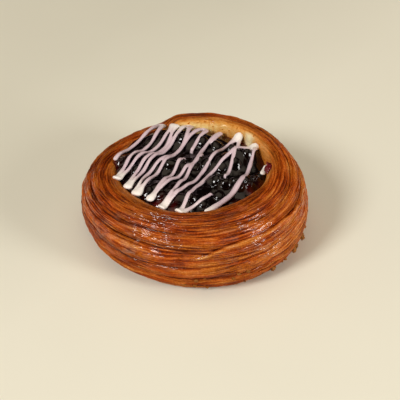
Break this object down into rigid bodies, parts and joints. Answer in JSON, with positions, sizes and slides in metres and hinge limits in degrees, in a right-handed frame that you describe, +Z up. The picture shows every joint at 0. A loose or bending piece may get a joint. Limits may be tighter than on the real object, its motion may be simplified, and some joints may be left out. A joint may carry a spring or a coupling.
{
  "type": "danish pastry",
  "caption": "Round danish pastry: a thick coiled ring of flaky dough round a well of lumpy dark berry filling, with a zigzag of piped icing across it.",
  "frame": {"origin": "middle of the flat underside", "axes": "+Z up out of the well, -Y towards the front, +X to the right seen from the front"},
  "size_m": [0.1092, 0.1072, 0.0405],
  "materials": {
    "crust": "satin",
    "berry_filling": "gloss",
    "icing": "satin"
  },
  "bodies": {
    "root": {"dough": "crust", "filling": "berry_filling", "icing": "icing", "icing_drop": "icing"}
  },
  "joints": []
}
